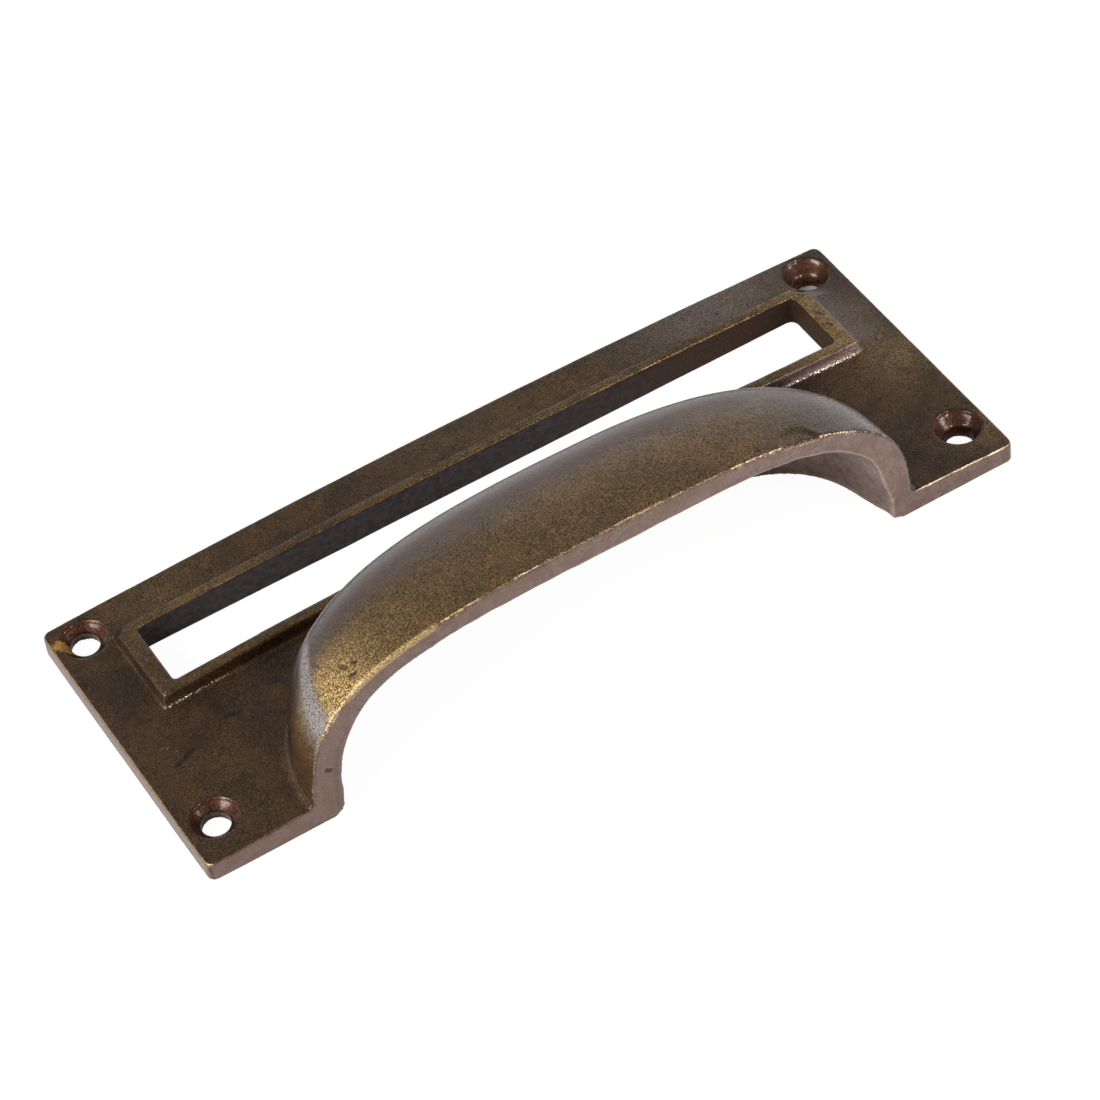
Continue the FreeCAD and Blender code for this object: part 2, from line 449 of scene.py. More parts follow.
class Surface:
    """The casting's points, and where each lies on the drawn form."""

    def __init__(self, points, normals):
        self.points = points
        self.normals = normals
        self.x, self.y, self.z = points.T
        self.nx, self.ny, self.nz = normals.T
        self.above = self.z - crown_height(self.x)
        self.from_cup = np.abs(CUP_OUTSIDE.offset(points)[0])
        cavity, self.cavity_outward = CUP_CAVITY.offset(points)
        self.from_cavity = np.abs(cavity)

    def from_hole(self, centre):
        return np.hypot(self.x - centre[0], self.y - centre[1])

    def left_end(self):
        """1 at the plate's left end, above its lower edge."""
        return step(-self.x, HALF_LENGTH - 1.0, HALF_LENGTH - 0.6) * step(self.z, *UPPER_EDGE)


def drawn_to(points, target, offset, reach):
    """Moves points onto their targets where their offset is within reach."""
    weight = 1 - step(np.abs(offset), *reach)
    return points + (target - points) * weight[:, None]


def trued(points, normals):
    """Takes the facets out of the crowned faces, the holes and the cup's two skins."""
    for rise in (0.0, FRAME_RISE):
        target = points.copy()
        target[:, 2] = crown_height(points[:, 0]) + rise
        height = points[:, 2] - target[:, 2]
        offset = np.where(normals[:, 2] > FACE_UPRIGHT, height, LEFT_ALONE)
        points = drawn_to(points, target, offset, FACE_REACH)
    for x, y in hole_centres():
        from_axis = points[:, :2] - (x, y)
        radius = np.maximum(np.linalg.norm(from_axis, axis=1), 1e-6)
        cone = MOUTH_RADIUS - (crown_height(x) - points[:, 2])
        wanted = np.maximum(cone, BORE_RADIUS)
        target = points.copy()
        target[:, :2] = (x, y) + from_axis * (wanted / radius)[:, None]
        offset = np.where(radius < HOLE_AREA, wanted - radius, LEFT_ALONE)
        points = drawn_to(points, target, offset, HOLE_REACH)
    for skin, facing in ((CUP_OUTSIDE, 1), (CUP_CAVITY, -1)):
        for _ in range(2):
            distance, outward = skin.offset(points)
            target = points - outward * distance[:, None]
            on_skin = (outward * normals).sum(1) * facing > SKIN_FACING
            on_skin &= points[:, 1] > -HALF_WIDTH + LIP_MARGIN
            offset = np.where(on_skin, distance, LEFT_ALONE)
            points = drawn_to(points, target, offset, CUP_REACH)
    return points


def edge_softness(at):
    """How soft the edges of the frame, the plate's border and the holes are."""
    on_frame = inside_box(at.points, FRAME_BOX, 0.8) * step(at.above, 0.1, 0.5)
    on_border = np.maximum(
        step(np.abs(at.x), HALF_LENGTH - 1.5, HALF_LENGTH - 0.8),
        step(np.abs(at.y), HALF_WIDTH - 1.5, HALF_WIDTH - 0.8),
    )
    on_border *= step(at.z, 1.6, 2.4) * (1 - step(at.above, 0.4, 0.8))
    softness = np.maximum(FRAME_SOFTNESS * on_frame, BORDER_SOFTNESS * on_border)
    for centre in hole_centres():
        radius = at.from_hole(centre)
        mouth = close_to(radius - MOUTH_RADIUS, 0.3, 0.7) * close_to(at.above, 0.3, 0.7)
        bore = close_to(radius - BORE_RADIUS, 0.3, 0.7) * step(at.z, 0.7, 0.3)
        softness = np.maximum(softness, np.maximum(MOUTH_SOFTNESS * mouth, bore))
    return softness


def left_leg(at):
    """1 on the cup's left leg, between its foot and the lip's top."""
    return (
        step(-at.x, 37, 43) * step(-at.y, 6, 16)
        * step(at.z, *FOOT_TO_LEG) * (1 - step(at.z, 21, 26))
    )


def lip_feet(at):
    """1 at the inner edge of the lip's two feet."""
    return (
        (1 - step(at.from_cavity, 0.3, 1.6)) * step(np.abs(at.x), 40, 43)
        * step(-at.y, 18, 24) * (1 - step(at.z, *FOOT_TO_LEG))
    )


def foot_corners(points):
    """1 at the corners where the inner edge of the lip meets the back."""
    share = np.zeros(len(points))
    for side in (-1, 1):
        corner = (CUP_MIDDLE_X + side * CUP_CAVITY.half + FOOT_CORNER_SHIFT, -HALF_WIDTH, 0)
        away = np.linalg.norm((points - corner) * (1, 0.45, 1), axis=1)
        share = np.maximum(share, 1 - step(away, 0.5, 1.8))
    return share


def broad_edge(at):
    """1 along the stretch of the lip's outer edge that is rubbed broad."""
    broad = inside_box(at.points, CHAMFER_BOX, 2.5) * step(at.z, 8.0, 11.0)
    return broad * close_to(at.from_cup, 0.7, 1.5)


def lip_wave(at):
    """How far the waves of the filed inner lip move it outward."""
    waves = lumps(at.points * (1, 0.3, 1), LIP_WAVES)
    return waves * (1 - step(at.from_cavity, 0.3, 1.2)) * step(-at.y, 19, 24.5)


def end_fillet(at):
    """Height of the low fillet beside the frame's right end, which spares the hole."""
    beside = np.maximum(at.x - FRAME_RIGHT - 0.4, 0)
    fillet = FILLET_HEIGHT * np.exp(-beside / FILLET_REACH)
    fillet *= step(at.x, FRAME_RIGHT - 0.2, FRAME_RIGHT + 0.3)
    fillet *= (
        step(at.y, 1.5, 4.5) * (1 - step(at.y, 16.5, 19.5))
        * (1 - step(at.above, 0.2, 1.6)) * step(at.z, *UPPER_EDGE)
    )
    right_rear = hole_centres()[-1]
    return fillet * step(at.from_hole(right_rear), MOUTH_RADIUS, MOUTH_RADIUS + 1.3)


def front_slope(at):
    """Height that the flat slope before the frame's right end adds."""
    before = np.clip(FRAME_FRONT + 0.1 - at.y, 0, ROOT_SLOPE)
    slope = ROOT_SLOPE - before
    slope *= (
        step(at.x, 42, 46) * step(at.x, FRAME_RIGHT + 0.6, FRAME_RIGHT - 0.2)
        * (before > 0) * (at.y > 0)
    )
    raised = np.maximum(crown_height(at.x) + slope, at.z)
    return (raised - at.z) * step(at.above, -0.4, -0.1) * (at.above < 1.5)


def sink_pits(points, at):
    """Sinks the pits and the dish into the points."""
    for *place, radius, depth in PITS:
        away = np.linalg.norm(at.points - place, axis=1) / radius
        points -= at.normals * (depth * np.clip(1 - away ** 2, 0, 1) ** 2)[:, None]
    away = np.linalg.norm((at.points - DISH) * (1, 0.95, 0.5), axis=1) / DISH_RADIUS
    outer_skin = close_to(at.from_cup, 0.4, 0.9) * step(at.nz, 0.2, 0.5)
    points[:, 2] -= DISH_DEPTH * (1 - step(away, 0.72, 1.0)) * outer_skin


def lean_holes(points):
    """Lets the drilled holes lean a little, as hand drilling does."""
    for (x, y), drift in zip(hole_centres(), HOLE_DRIFT):
        mouth, back = np.array(drift)
        radius = np.hypot(points[:, 0] - x, points[:, 1] - y)
        near = 1 - step(radius, MOUTH_RADIUS + 0.1, MOUTH_RADIUS + 0.9)
        depth = step(points[:, 2], crown_height(x) - 0.2, 0.3)
        move = mouth + (back - mouth) * depth[:, None]
        points[:, :2] += move * near[:, None]


def hand_worked(at, near):
    """The small departures of the real casting from its drawn form."""
    done = near.part_blurred(at.points, SOFT_ROUNDS, edge_softness(at))
    done[:, 0] += LEG_SHIFT * left_leg(at)
    done[:, 0] += FOOT_SHIFT * lip_feet(at)
    done = near.part_blurred(done, FOOT_ROUNDS, foot_corners(done))
    done = near.part_blurred(done, BROAD_ROUNDS, broad_edge(at))
    done += at.cavity_outward * lip_wave(at)[:, None]
    done[:, 2] += end_fillet(at)
    done[:, 2] += front_slope(at)
    sink_pits(done, at)
    lean_holes(done)
    return done


def add_zones(values, points, zones):
    """Adds soft round zones to the values, each given as x, y, z, radius, amount."""
    for *place, radius, amount in zones:
        away = np.linalg.norm(points - place, axis=1)
        values += amount * np.exp(-(away / radius) ** 2)


def worn_gold(at, on_cup, dull):
    """How far the patina is worn through to gold, less on the cup's sides with painted sheen."""
    on_frame = step(at.above, 1.6, 1.9) * inside_box(at.points, FRAME_BOX, 0.2)
    on_frame *= step(at.nz, *SQUARE_ON)
    gold = np.full(len(at.points), GOLD_EVERYWHERE)
    gold += GOLD_ON_CUP * on_cup
    gold += GOLD_ON_FRAME * on_frame
    for x, full_x, amount in GOLD_ALONG_FRAME:
        gold += amount * on_frame * step(at.x, x, full_x)
    add_zones(gold, at.points, WORN_ZONES)
    gold *= 1 - 0.85 * dull
    gold *= 1 - 0.4 * step(at.z, 18.5, 14.5) * on_cup * step(at.x, -30, -40)
    return np.clip(gold, 0, 1)


def grey_sheen_mask(at):
    """Painted grey sheen on the plate's face, not on the frame."""
    painted_grey_sheen = np.zeros(len(at.points))
    add_zones(painted_grey_sheen, at.points, GREY_SHEEN_ZONES)
    painted_grey_sheen *= step(at.above, 1.2, 0.4) * step(at.nz, *SQUARE_ON)
    return painted_grey_sheen


def shoulder_sheen_band(at, on_cup):
    """A narrow band of painted sheen down the cup's left shoulder, where it faces left."""
    painted_sheen_band = step(0.35 * at.ny - at.nx, 0.715, 0.765)
    painted_sheen_band *= 1 - step(0.5 * at.ny - at.nx, 0.87, 0.93)
    painted_sheen_band *= on_cup * step(at.z, 11.5, 14.0)
    return painted_sheen_band


def filed_faces(at):
    """The faces that were filed flat: the front of the lip and plate, and its two ends."""
    front = step(-at.ny, *SQUARE_ON) * step(-at.y, HALF_WIDTH - 0.4, HALF_WIDTH - 0.1)
    end = step(np.abs(at.nx), *SQUARE_ON)
    end *= step(np.abs(at.x), HALF_LENGTH - 0.4, HALF_LENGTH - 0.1)
    return np.maximum(front, end)


def cup_inside_painted_light(at):
    """The cup's inside, with light painted on, more of it towards the right, without the front
    of the lip.
    """
    inside = close_to(at.from_cavity, 0.2, 0.6) * step(at.x, 8, 40)
    inside *= (at.y < -4) * (at.z > 0.1)
    inside *= 1 - step(-at.ny, *SQUARE_ON)
    return inside


def front_flank_painted_sheen(at):
    """The frame's front flank at its right, painted with a light sheen as light as the cup's
    inside.
    """
    flank = step(-at.ny, 0.4, 0.7) * step(at.x, 43, 47) * step(at.above, 0.1, 0.4)
    flank *= close_to(at.y - FRAME_FRONT, 0.7, 1.2) * step(at.x, 58.5, 57.8)
    flank *= 0.30 + 0.65 * step(at.above - 0.09 * (at.x - 50), 1.2, 0.6)
    return flank


def rear_flank(at):
    """The frame's rear flank."""
    flank = step(at.ny, 0.12, 0.35) * step(at.above, 0.1, 0.4)
    return flank * close_to(at.y - FRAME_REAR, 0.9, 1.4)


def window_wall(at):
    """The walls of the window."""
    wall = inside_box(at.points, WINDOW_BACK, 0.6) * step(-np.abs(at.nz), -0.5, -0.2)
    return wall * step(at.above, 1.95, 1.7)


def rubbed_rim(at):
    """The edges that are rubbed bright: parts of the lip and front edge, and the left end."""
    rim = 0.5 * close_to(at.from_cup, 0.6, 1.0) * step(at.above, 1.0, 2.5)
    for x0, x1 in RUBBED:
        stretch = step(at.x, x0 - 1, x0 + 1) * step(at.x, x1 + 1, x1 - 1)
        rim = np.maximum(rim, stretch)
    rim *= step(-at.y, HALF_WIDTH - 1.0, HALF_WIDTH - 0.6) * step(at.z, *UPPER_EDGE)
    rim *= np.maximum(close_to(at.from_cup, 1.0, 1.8), step(at.z, 6.0, 5.0))
    return np.maximum(rim, 0.15 * at.left_end())


def hole_walls(at):
    """The cones and bores of the holes."""
    sink = np.zeros(len(at.points))
    for centre in hole_centres():
        within = step(at.from_hole(centre), MOUTH_RADIUS + 0.15, MOUTH_RADIUS - 0.1)
        sink = np.maximum(sink, within * step(at.z, 0.0, 0.4))
    return sink


def golden_edge(at):
    """The lip's broad rubbed edge, and faintly its inner edge at the right."""
    chamfer = inside_box(at.points, CHAMFER_BOX, 1.5)
    chamfer *= close_to(at.from_cup, CHAMFER_WIDTH - CHAMFER_FADE, CHAMFER_WIDTH)
    chamfer *= step(-at.y, HALF_WIDTH - CHAMFER_WIDTH, HALF_WIDTH - CHAMFER_WIDTH + CHAMFER_FADE)
    chamfer *= step(at.above, 3.0, 5.0)
    inner = close_to(at.from_cavity, 0.25, 0.5)
    inner *= step(-at.y, HALF_WIDTH - 0.5, HALF_WIDTH - 0.2)
    inner *= step(at.x, 26, 32) * step(at.z, 0.8, 2.0)
    return np.maximum(0.8 * chamfer, 0.22 * inner)


def small_marks(points):
    """One mask for each kind of mark, 1 on its line and 0 at its reach."""
    masks = {}
    for kind, start, end, reach in MARKS:
        mark = np.clip(1 - line_distance(points, start, end) / reach, 0, 1)
        masks[kind] = np.maximum(masks.get(kind, 0.0), mark)
    return masks


def finish_masks(at):
    """Where the metal is golden, filed, coppery or marked, and where sheen, light and shade are
    painted, from 0 to 1.
    """
    on_cup = close_to(at.from_cup, 0.3, 0.8) * step(at.above, 0.5, 2.5)
    back = step(at.ny, 0.08, 0.38) * on_cup
    # painted sheen: the band down the cup's left shoulder
    painted_sheen_band = shoulder_sheen_band(at, on_cup)
    # the cup's back and right-facing slopes, painted darker and mauve to tone the sheen they
    # show
    painted_sheen_side = np.maximum(back, step(at.nx, 0.08, 0.40) * on_cup)
    painted_sheen_side = np.maximum(painted_sheen_side, 0.3 * painted_sheen_band)
    inside = cup_inside_painted_light(at)
    wall = window_wall(at)
    return {
        "gold": worn_gold(at, on_cup, np.maximum(painted_sheen_side, painted_sheen_band)),
        "painted_grey_sheen": grey_sheen_mask(at),
        "back": back,
        "painted_sheen_side": painted_sheen_side,
        "painted_sheen_band": painted_sheen_band * step(-at.ny, -0.75, -0.45),
        # the cup's inside also takes the filed colour under its painted light
        "filed": np.maximum(filed_faces(at), inside),
        "inside": np.maximum(inside, front_flank_painted_sheen(at)),
        "rim": rubbed_rim(at),
        "chamfer": golden_edge(at),
        "wall": wall,
        # painted shade on the window's walls and the frame's rear flank
        "painted_shade": np.maximum(wall, 0.9 * rear_flank(at)),
        "sink": hole_walls(at),
        **small_marks(at.points),
    }


def edge_mask(at, near):
    """How sharply the surface bends: above 0 on edges, below 0 in corners."""
    edge = ((at.points - near.blurred(at.points, BEND_ROUNDS)) * at.normals).sum(1)
    inner_lip = close_to(at.from_cavity, 0.6, 1.2) * (at.z > 0.3)
    edge -= 0.12 * inner_lip * (np.abs(at.x) < CUP_CAVITY.half + 1)
    edge += 0.07 * at.left_end()
    on_frame = inside_box(at.points, FRAME_BOX, 0.4) * step(at.above, 1.3, 1.7)
    edge += (0.025 + 0.03 * step(at.x, 10, 40)) * on_frame * (edge > 0)
    front_root = step(at.x, 42, 45) * close_to(at.y - FRAME_FRONT + 0.6, 1.0, 1.8)
    edge *= 1 - front_root * step(at.above, 1.4, 0.9)
    return edge


def finely_meshed():
    """The CAD form as one even mesh that lies on the CAD node's surface."""
    surface = bmesh.new()
    surface.from_mesh(frame["nodes"][NODE].data)
    bmesh.ops.remove_doubles(surface, verts=surface.verts, dist=WELD * MM)
    mesh = bpy.data.meshes.new("pull_casting")
    surface.to_mesh(mesh)
    surface.free()
    piece = new_object("pull_casting", mesh)
    cad_node = frame["nodes"][NODE]
    add_modifier(piece, "REMESH", mode="VOXEL", voxel_size=VOXEL * MM)
    add_modifier(piece, "SMOOTH", factor=0.5, iterations=3)
    add_modifier(piece, "SHRINKWRAP", target=cad_node, wrap_method="NEAREST_SURFACEPOINT")
    add_modifier(piece, "SMOOTH", factor=0.3, iterations=1)
    apply_modifiers(piece)
    return piece


def casting():
    """The pull: the drawn form, its masks, the hand work and the uneven skin."""
    piece = finely_meshed()
    mesh = piece.data
    near = Neighbours(mesh)
    points = trued(points_of(mesh), normals_of(mesh))
    set_points(mesh, points)
    drawn = Surface(points, normals_of(mesh))

    points = hand_worked(drawn, near)
    set_points(mesh, points)
    worked = Surface(points, normals_of(mesh))
    masks = finish_masks(drawn)
    masks["edge"] = edge_mask(worked, near)
    for name, values in masks.items():
        set_mask(mesh, name, values)

    uneven = worked.normals * lumps(worked.points, CAST_LUMPS)[:, None]
    set_points(mesh, worked.points + uneven)

    add_modifier(piece, "DECIMATE", ratio=MOST_TRIANGLES / (2 * len(mesh.polygons)))
    apply_modifiers(piece)
    print("triangles", sum(len(p.vertices) - 2 for p in piece.data.polygons))
    piece.data.shade_smooth()
    return piece


class Nodes:
    """Short calls that add nodes to a material or world and link them."""

    def __init__(self, tree):
        self.tree = tree

    def node(self, kind, **settings):
        node = self.tree.nodes.new(kind)
        for name, value in settings.items():
            setattr(node, name, value)
        return node

    def put(self, socket, value):
        if isinstance(value, bpy.types.NodeSocket):
            self.tree.links.new(value, socket)
        else:
            socket.default_value = value

    def math(self, operation, a, b, clamp=False):
        node = self.node("ShaderNodeMath", operation=operation, use_clamp=clamp)
        self.put(node.inputs[0], a)
        self.put(node.inputs[1], b)
        return node.outputs[0]

    def plus(self, a, b):
        return self.math("ADD", a, b)

    def minus(self, a, b):
        return self.math("SUBTRACT", a, b)

    def times(self, a, b, clamp=False):
        return self.math("MULTIPLY", a, b, clamp)

    def larger(self, a, b):
        return self.math("MAXIMUM", a, b)

    def ramp(self, value, low, high, to_low=0.0, to_high=1.0):
        """A smooth step from one value at low to another at high."""
        node = self.node("ShaderNodeMapRange", interpolation_type="SMOOTHSTEP")
        for name, given in (
            ("Value", value), ("From Min", low), ("From Max", high),
            ("To Min", to_low), ("To Max", to_high),
        ):
            self.put(node.inputs[name], given)
        return node.outputs["Result"]

    def mix(self, factor, a, b):
        """A colour from a to b."""
        node = self.node("ShaderNodeMix", data_type="RGBA")
        self.put(node.inputs["Factor"], factor)
        for socket, value in ((node.inputs[6], a), (node.inputs[7], b)):
            self.put(socket, value if isinstance(value, bpy.types.NodeSocket) else (*value, 1))
        return node.outputs[2]

    def blend(self, factor, a, b):
        """A number from a to b."""
        node = self.node("ShaderNodeMix", data_type="FLOAT")
        self.put(node.inputs["Factor"], factor)
        self.put(node.inputs[2], a)
        self.put(node.inputs[3], b)
        return node.outputs[0]

    def vectors(self, operation, a, b, output):
        node = self.node("ShaderNodeVectorMath", operation=operation)
        self.put(node.inputs[0], a)
        self.put(node.inputs[1], b)
        return node.outputs[output]

    def along(self, axis, vector):
        """One coordinate of a vector."""
        node = self.node("ShaderNodeSeparateXYZ")
        self.put(node.inputs[0], vector)
        return node.outputs[axis]

    def noise(self, place, scale, detail, roughness):
        node = self.node("ShaderNodeTexNoise")
        self.put(node.inputs["Vector"], place)
        self.put(node.inputs["Scale"], scale)
        self.put(node.inputs["Detail"], detail)
        self.put(node.inputs["Roughness"], roughness)
        return node.outputs["Fac"]

    def bump(self, height, strength, distance):
        node = self.node("ShaderNodeBump")
        self.put(node.inputs["Height"], height)
        self.put(node.inputs["Strength"], strength)
        self.put(node.inputs["Distance"], distance)
        return node.outputs["Normal"]

    def mask(self, name):
        return self.node("ShaderNodeAttribute", attribute_name=name).outputs["Fac"]


# Finish: reflectances, linear
PATINA = (0.112, 0.056, 0.025)
PATINA_DARK = (0.043, 0.020, 0.010)
# painted sheen tone of the cup's back and right side
MAUVE = (0.050, 0.021, 0.019)
# painted grey sheen
GREY_SHEEN = (0.34, 0.275, 0.24)
PIT = (0.010, 0.005, 0.003)
GOLD = (0.69, 0.45, 0.165)
FILED_LEFT = (0.225, 0.142, 0.112)
FILED_RIGHT = (0.285, 0.192, 0.158)
FILED_DARK = (0.135, 0.076, 0.058)
FILED_BROWN = (0.185, 0.100, 0.060)
COPPERY = (0.075, 0.022, 0.009)
COPPER_LIGHT = (0.17, 0.065, 0.032)
RUDDY = (0.13, 0.035, 0.018)
BRASS = (0.62, 0.33, 0.07)
# painted shade: the frame's rear flank and the window's walls
SHADE_BLACK = (0.018, 0.012, 0.010)
SHADE_BROWN = (0.075, 0.040, 0.023)
WALL_SHADE = (0.096, 0.075, 0.077)
WALL_SHADE_DARK = (0.062, 0.048, 0.049)
# painted light on the cup's inside, and painted sheen on the frame's front flank at its right
INSIDE_PAINTED_LIGHT = (0.51, 0.365, 0.32)
INSIDE_PAINTED_LIGHT_DIM = (0.33, 0.225, 0.180)
# painted sheen down the cup's left shoulder
SHEEN_BAND_COLOUR = (0.42, 0.37, 0.35)
GOLD_EDGE = (0.66, 0.46, 0.21)
DULL_EDGE = (0.30, 0.18, 0.07)
BRIGHT_EDGE = (0.86, 0.65, 0.40)
# white of scratches and bare specks, and of painted highlights and glints
WHITE_METAL_AND_HIGHLIGHTS = (0.98, 0.90, 0.78)

# Depth of the grain in the metal, and in the smooth coat that lies over it
GRAIN_DEPTH = 0.24
COAT_GRAIN_DEPTH = 0.06


class PatinaNodes(Nodes):
    """The patina's nodes, with the noises, masks and shares that its layers use."""

    def __init__(self, tree):
        super().__init__(tree)
        metres = self.node("ShaderNodeTexCoord").outputs["Object"]
        place = self.vectors("MULTIPLY", metres, (1 / MM, 1 / MM, 1 / MM), "Vector")
        self.x = self.along("X", place)
        self.grain = self.noise(place, 4.2, 2.0, 0.6)
        self.specks = self.noise(place, 2.4, 2.0, 0.65)
        self.mottle = self.noise(place, 0.8, 3.0, 0.6)
        self.blotches = self.noise(place, 0.4, 2.0, 0.55)
        self.patches = self.noise(place, 0.16, 3.0, 0.6)

        self.gold = self.mask("gold")
        self.rim = self.mask("rim")
        self.filed = self.mask("filed")
        self.painted_shade = self.mask("painted_shade")
        self.sink = self.mask("sink")
        edge = self.mask("edge")
        # darker, duller patina in creases and corners
        self.in_creases = self.ramp(edge, -0.04, -0.2)
        edge = self.plus(edge, self.times(self.minus(self.mottle, 0.5), 0.10))
        edge = self.plus(edge, self.times(self.minus(self.grain, 0.5), 0.08))
        self.worn = self.ramp(self.plus(edge, self.times(self.rim, 0.06)), 0.175, 0.235)
        self.pits = self.ramp(self.plus(self.specks, self.times(self.patches, 0.12)), 0.46, 0.40)
        # white specks: scratches and bare metal, and painted highlights and glints
        self.scratches_and_glints = self.larger(
            self.broken("fleck", self.times(self.grain, 1.6), 1.42, 1.6),
            self.broken("glint", self.times(self.grain, 2.0), 1.72, 1.95),
        )

    def broken(self, kind, noise, low, high, most=1.0):
        """Where a kind of mark shows, its outline broken up by a noise."""
        return self.ramp(self.plus(self.mask(kind), noise), low, high, 0.0, most)


def gold_share(n):
    """Gold that shows through the brown in grains, finer where it is worn more."""
    grit = n.ramp(n.grain, 0.38, 0.64, n.blend(n.gold, 0.44, 0.08), n.blend(n.gold, 1.42, 1.75))
    return n.times(n.times(n.gold, grit), n.ramp(n.mottle, 0.3, 0.7, 0.8, 1.2), clamp=True)


def pit_share(n):
    """Dark pits, fewer on filed and on golden metal."""
    pitted = n.times(n.pits, n.blend(n.filed, 0.85, 0.12))
    return n.times(pitted, n.ramp(n.gold, 0.2, 0.6, 1.0, 0.4))


def filed_metal(n):
    colour = n.mix(n.ramp(n.x, -45.0, 50.0), FILED_LEFT, FILED_RIGHT)
    colour = n.mix(n.ramp(n.blotches, 0.46, 0.60, 0.0, 0.55), colour, FILED_BROWN)
    colour = n.mix(n.ramp(n.mottle, 0.52, 0.32, 0.0, 0.5), colour, FILED_DARK)
    return n.mix(n.ramp(n.grain, 0.56, 0.36, 0.0, 0.6), colour, FILED_DARK)


def painted_shade_colour(n):
    """Painted shade: black on the frame's rear flank, and grey to brown on the window's walls.
    """
    wall = n.mix(n.ramp(n.mottle, 0.36, 0.62), WALL_SHADE_DARK, WALL_SHADE)
    wall = n.mix(n.ramp(n.x, 5.0, 45.0), wall, SHADE_BROWN)
    return n.mix(n.mask("wall"), SHADE_BLACK, wall)


def coppery_metal(n):
    colour = n.mix(n.ramp(n.mottle, 0.35, 0.62), PATINA_DARK, COPPERY)
    return n.mix(n.ramp(n.grain, 0.46, 0.62, 0.0, 0.6), colour, COPPER_LIGHT)


def patina_colour(n):
    """The brown patina, and each layer that lies over it, from the lowest up."""
    colour = n.mix(n.ramp(n.patches, 0.35, 0.65), PATINA_DARK, PATINA)
    for share, layer in (
        (n.ramp(n.mottle, 0.3, 0.5, 0.45, 0.0), PATINA_DARK),
        (n.ramp(n.grain, 0.52, 0.36, 0.0, 0.7), PATINA_DARK),
        (n.ramp(n.grain, 0.55, 0.7, 0.0, 0.13), GOLD),
        # painted sheen tone on the cup's back and right side
        (n.times(n.mask("painted_sheen_side"), 0.75), MAUVE),
        (gold_share(n), GOLD),
        (n.filed, filed_metal(n)),
        # painted grey sheen on the plate
        (n.times(n.mask("painted_grey_sheen"), n.ramp(n.grain, 0.36, 0.62, 0.5, 1.3)), GREY_SHEEN),
        # painted light on the cup's inside, painted sheen on the frame's front flank
        (n.mask("inside"), n.mix(n.ramp(n.mottle, 0.32, 0.60), INSIDE_PAINTED_LIGHT_DIM, INSIDE_PAINTED_LIGHT)),
        # painted sheen band on the cup's left shoulder
        (n.times(n.mask("painted_sheen_band"), n.ramp(n.grain, 0.36, 0.58, 0.30, 1.0)), SHEEN_BAND_COLOUR),
        (pit_share(n), PIT),
        # darker in creases and corners
        (n.times(n.in_creases, 0.7), PATINA_DARK),
        # painted shade
        (n.painted_shade, painted_shade_colour(n)),
        (n.sink, coppery_metal(n)),
        (n.broken("brass", n.times(n.specks, 0.8), 0.7, 0.85), BRASS),
        (n.broken("ruddy", n.times(n.grain, 0.8), 0.75, 1.1, 0.7), RUDDY),
        (n.broken("stain", n.times(n.plus(n.grain, n.specks), 0.9), 1.15, 1.5, 0.7), PIT),
        (n.times(n.mask("chamfer"), n.ramp(n.grain, 0.34, 0.58, 0.25, 1.0)), GOLD_EDGE),
        (n.worn, n.mix(n.rim, DULL_EDGE, BRIGHT_EDGE)),
        # scratches and bare specks, and painted highlights and glints
        (n.scratches_and_glints, WHITE_METAL_AND_HIGHLIGHTS),
    ):
        colour = n.mix(share, colour, layer)
    return colour


def patina_roughness(n):
    rough = n.ramp(n.grain, 0.3, 0.7, 0.45, 0.6)
    for share, value in ((n.gold, 0.30), (n.worn, 0.35), (n.scratches_and_glints, 0.22), (n.painted_shade, 0.8)):
        rough = n.blend(share, rough, value)
    return rough


def coat_weight(n):
    """The clear coat, thinner on the painted shade, filed metal, the cup's back, creases and
    grain.
    """
    dull = n.larger(n.times(n.painted_shade, 0.95), n.times(n.filed, 0.3))
    dull = n.larger(dull, n.times(n.mask("back"), 0.38))
    dull = n.larger(dull, n.times(n.in_creases, 0.55))
    dull = n.larger(dull, n.ramp(n.grain, 0.52, 0.36, 0.0, 0.75))
    return n.minus(1.0, dull)


def patina():
    material = bpy.data.materials.new("brown_patina")
    material.use_nodes = True
    shader = material.node_tree.nodes["Principled BSDF"]
    n = PatinaNodes(material.node_tree)
    relief = n.minus(n.grain, n.times(n.pits, 0.4))
    strength = n.blend(n.gold, n.blend(n.filed, n.blend(n.sink, 0.5, 0.22), 0.09), 1.0)
    for socket, value in (
        ("Base Color", patina_colour(n)),
        ("Metallic", 0.95),
        ("Roughness", patina_roughness(n)),
        ("Normal", n.bump(relief, strength, GRAIN_DEPTH * MM)),
        ("Coat Weight", coat_weight(n)),
        ("Coat Roughness", 0.12),
        ("Coat IOR", 1.5),
        ("Coat Normal", n.bump(relief, strength, COAT_GRAIN_DEPTH * MM)),
    ):
        n.put(shader.inputs[socket], value)
    return material


def lamp(name, direction, size, radiance):
    data = bpy.data.lights.new(name, "AREA")
    data.shape = "SQUARE"
    data.size = size
    data.energy = radiance * math.pi * size ** 2
    obj = bpy.data.objects.new(name, data)
    away = Vector(direction).normalized()
    obj.location = away * LAMP_DISTANCE
    obj.rotation_euler = away.to_track_quat("Z", "Y").to_euler()
    bpy.context.scene.collection.objects.link(obj)


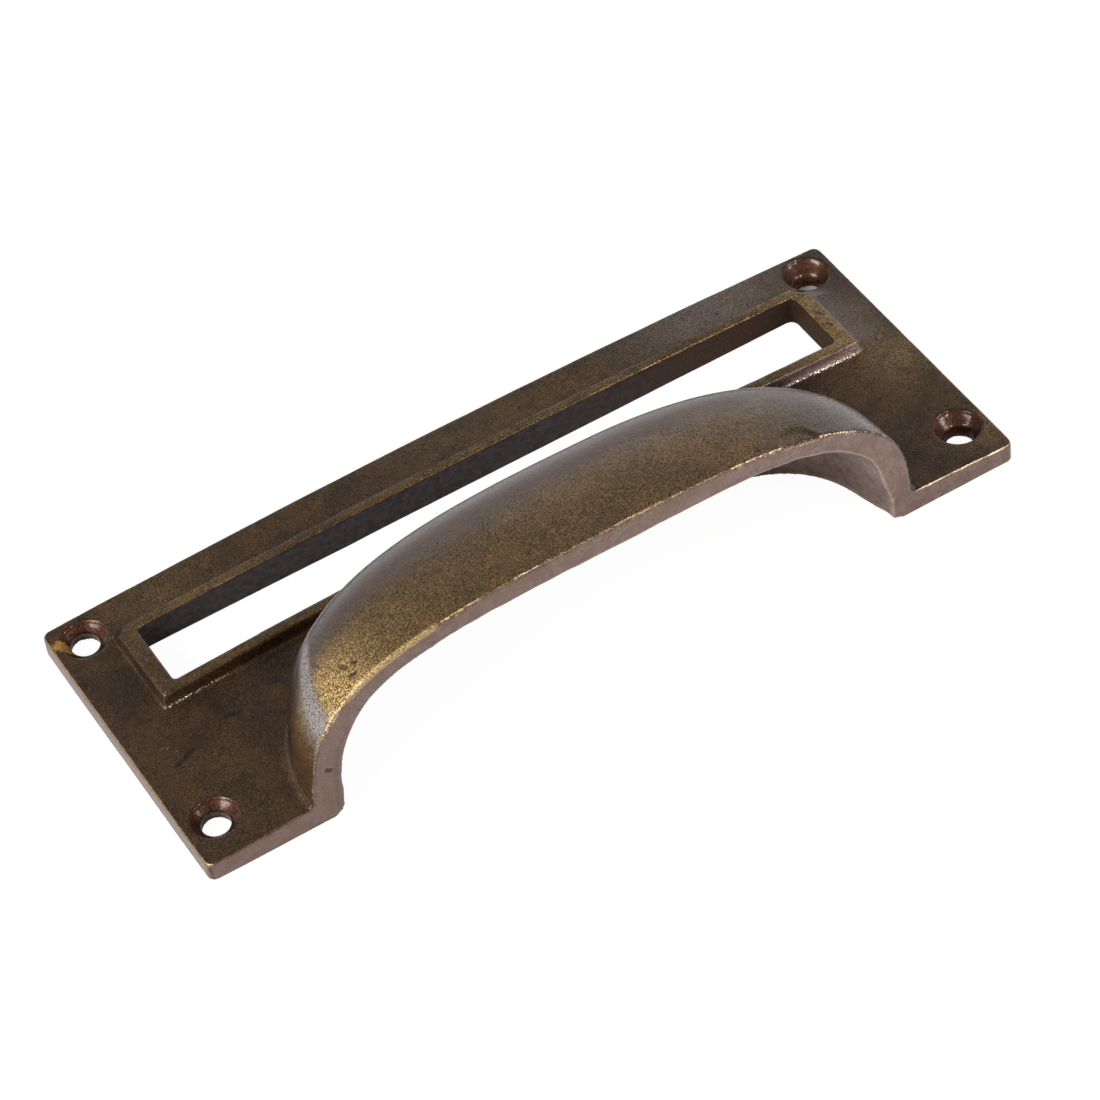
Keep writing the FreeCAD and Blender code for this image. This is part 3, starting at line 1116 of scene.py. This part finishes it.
def world():
    """Plain studio light round the object, which the camera itself sees as white."""
    studio = bpy.data.worlds.new("studio")
    bpy.context.scene.world = studio
    studio.use_nodes = True
    n = Nodes(studio.node_tree)
    background = studio.node_tree.nodes["Background"]
    direction = n.node("ShaderNodeTexCoord").outputs["Generated"]
    behind = n.vectors("DOT_PRODUCT", direction, SWEEP_DIRECTION, "Value")
    sweep = n.ramp(behind, 0.45, 0.95)
    white_up_to = n.blend(sweep, 0.0, 0.30)
    dim_from = n.blend(sweep, 0.12, 0.76)
    level = n.ramp(n.along("Z", direction), white_up_to, dim_from, 1.0, DIM_ABOVE)
    seen = n.node("ShaderNodeLightPath").outputs["Is Camera Ray"]
    n.put(background.inputs["Color"], (1, 1, 1, 1))
    n.put(background.inputs["Strength"], n.blend(seen, level, 1.0))


def floor_material():
    """Pale, and for the camera and for far reflections mostly a white glow."""
    material = bpy.data.materials.new("floor")
    material.use_nodes = True
    tree = material.node_tree
    n = Nodes(tree)
    tree.nodes.remove(tree.nodes["Principled BSDF"])
    diffuse = n.node("ShaderNodeBsdfDiffuse")
    n.put(diffuse.inputs["Color"], (*FLOOR_COLOUR, 1))
    glow = n.node("ShaderNodeEmission")
    n.put(glow.inputs["Strength"], FLOOR_GLOW)
    path = n.node("ShaderNodeLightPath")
    far = n.ramp(path.outputs["Ray Length"], 0.003, 0.03)
    mirrored = n.times(path.outputs["Is Glossy Ray"], far)
    seen = n.larger(path.outputs["Is Camera Ray"], mirrored)
    place = n.node("ShaderNodeNewGeometry").outputs["Position"]
    from_hole = n.vectors("DISTANCE", place, [c * MM for c in SHADED_FLOOR], "Value")
    lit = n.ramp(from_hole, SHADED_RADIUS * MM, (SHADED_RADIUS + 1) * MM)
    mixer = n.node("ShaderNodeMixShader")
    n.put(mixer.inputs[0], n.times(n.times(seen, lit), FLOOR_GLOW_SHARE))
    n.put(mixer.inputs[1], diffuse.outputs[0])
    n.put(mixer.inputs[2], glow.outputs[0])
    n.put(tree.nodes["Material Output"].inputs["Surface"], mixer.outputs[0])
    return material


def floor():
    mesh = bpy.data.meshes.new("floor")
    half = FLOOR_HALF * MM
    corners = [(-half, -half), (half, -half), (half, half), (-half, half)]
    mesh.from_pydata([(x, y, FLOOR_LEVEL * MM) for x, y in corners], [], [(0, 1, 2, 3)])
    mesh.materials.append(floor_material())
    new_object("floor", mesh)


camera()
piece = casting()
piece.data.materials.clear()
piece.data.materials.append(patina())
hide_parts(NODE)
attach(piece, "root")
world()
for settings in LAMPS:
    lamp(*settings)
floor()
bpy.context.scene.view_settings.view_transform = "Standard"
